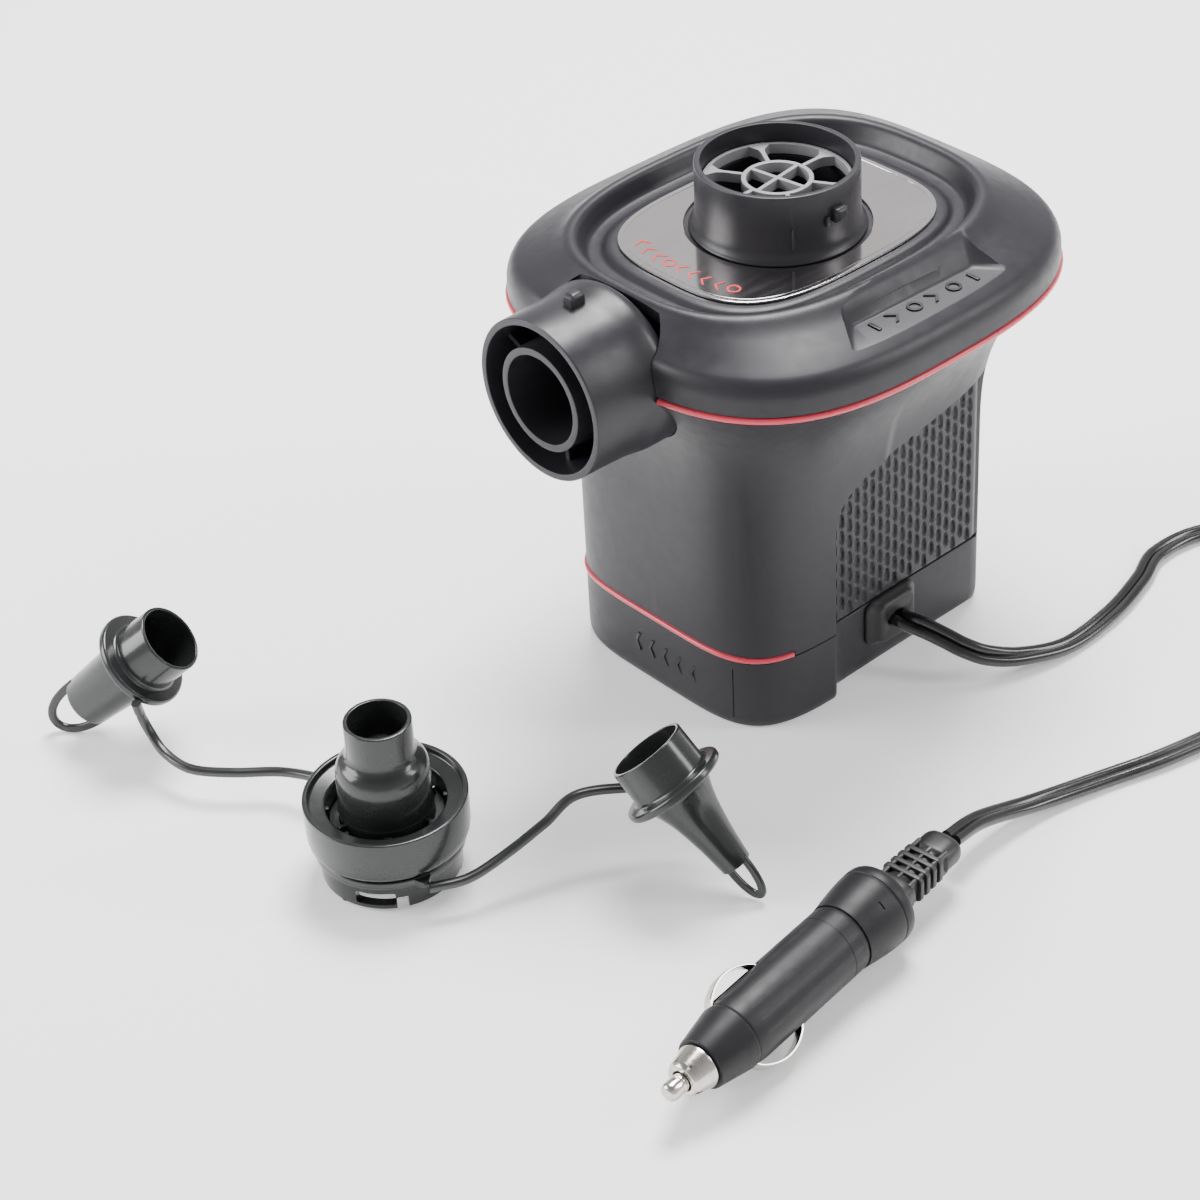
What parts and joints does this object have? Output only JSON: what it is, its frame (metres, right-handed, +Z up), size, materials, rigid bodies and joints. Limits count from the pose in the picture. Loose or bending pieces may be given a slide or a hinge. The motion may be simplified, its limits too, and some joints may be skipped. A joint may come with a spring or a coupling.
{
  "type": "electric air mattress pump",
  "caption": "Twelve-volt electric air pump with top suction port, front discharge port, tethered valve nozzles and a vehicle-socket plug on a flexible cord.",
  "frame": {"origin": "on the floor, under the axis of the suction port, which is also the motor's axis", "axes": "+Z up along the suction port's axis, -Y out of the discharge port, +X towards the side the cord leaves"},
  "size_m": [0.2528, 0.3315, 0.1552],
  "materials": {
    "shell": "satin charcoal, moulded",
    "accent": "semi-gloss red",
    "label": "mirror-bright foil",
    "inside": "plain moulded",
    "impeller": "plain moulded",
    "steel": "zinc plated",
    "end_cap": "plain moulded",
    "magnet": "sintered",
    "bronze": "sintered",
    "armature": "lacquered windings on a laminated core",
    "copper": "turned",
    "rubber": "soft satin",
    "rocker": "gloss",
    "nozzle_plastic": "glossy dark green-grey",
    "tether": "satin",
    "plug_plastic": "satin",
    "nickel": "bright nickel",
    "glass": "clear"
  },
  "bodies": {
    "pump": {"lower_housing": "shell", "base_cap": "shell", "upper_cover": "shell", "outlet_port": "shell", "inlet_port": "shell", "inlet_grille": "shell", "switch_frame": "shell", "upper_trim_ring": "accent", "lower_trim_strip": "accent", "label_plate": "label", "scroll_housing": "inside", "motor_can": "steel", "motor_end_cap": "end_cap", "motor_mount_plate": "steel", "magnet_left": "magnet", "magnet_right": "magnet", "upper_bush": "bronze", "lower_bush": "bronze", "base_screw_1": "steel", "base_screw_2": "steel", "base_screw_3": "steel", "base_screw_4": "steel", "motor_screw_left": "steel", "motor_screw_right": "steel", "cord_grommet": "rubber", "power_cord": "rubber"},
    "rotor": {"motor_shaft": "steel", "armature": "armature", "commutator": "copper", "impeller": "impeller"},
    "rocker": {"switch_rocker": "rocker"},
    "connector": {"connector_cup": "nozzle_plastic", "connector_nozzle": "nozzle_plastic", "tether_ring": "tether"},
    "medium_nozzle_arm": {"medium_nozzle": "nozzle_plastic", "tether_medium": "tether"},
    "small_nozzle_arm": {"small_nozzle": "nozzle_plastic", "tether_small": "tether"},
    "plug": {"plug_barrel": "plug_plastic", "plug_collar": "plug_plastic", "plug_nose": "nickel", "rear_terminal": "nickel", "strain_relief": "rubber", "tip_spring": "nickel"},
    "tip": {"tip_contact": "nickel", "fuse": "glass"},
    "left_contact": {"side_contact_left": "nickel"},
    "right_contact": {"side_contact_right": "nickel"}
  },
  "joints": [
    {"name": "rotor_spin", "type": "hinge", "parent": "pump", "child": "rotor", "pos_m": [0, 0, 0.092], "axis": [0, 0, 1], "continuous": true},
    {"name": "rocker_tilt", "type": "hinge", "parent": "pump", "child": "rocker", "pos_m": [0, 0.0492, 0.058], "axis": [1, 0, 0], "range_deg": [-8, 8]},
    {"name": "connector_lift", "type": "slide", "parent": "pump", "child": "connector", "axis": [0, 0, 1], "range_m": [0, 0.12]},
    {"name": "medium_strap_bend", "type": "hinge", "parent": "connector", "child": "medium_nozzle_arm", "pos_m": [-0.01866, -0.15316, 0.0099], "axis": [0, 0, 1], "range_deg": [-25, 25]},
    {"name": "small_strap_bend", "type": "hinge", "parent": "connector", "child": "small_nozzle_arm", "pos_m": [0.02947, -0.16428, 0.0099], "axis": [0, 0, 1], "range_deg": [-10, 25]},
    {"name": "plug_swing", "type": "hinge", "parent": "pump", "child": "plug", "pos_m": [0.11784, -0.05583, 0.0118], "axis": [0, 0, 1], "range_deg": [-8, 20]},
    {"name": "tip_press", "type": "slide", "parent": "plug", "child": "tip", "axis": [-0.1115, 0.9938, 0], "range_m": [0, 0.0025], "stiffness_N_per_m": 900, "deforming": ["tip_spring"]},
    {"name": "left_contact_press", "type": "slide", "parent": "plug", "child": "left_contact", "axis": [-0.7831, -0.0878, 0.6157], "range_m": [0, 0.0015], "stiffness_N_per_m": 900},
    {"name": "right_contact_press", "type": "slide", "parent": "plug", "child": "right_contact", "axis": [0.7831, 0.0878, -0.6157], "range_m": [0, 0.0015], "stiffness_N_per_m": 900}
  ]
}
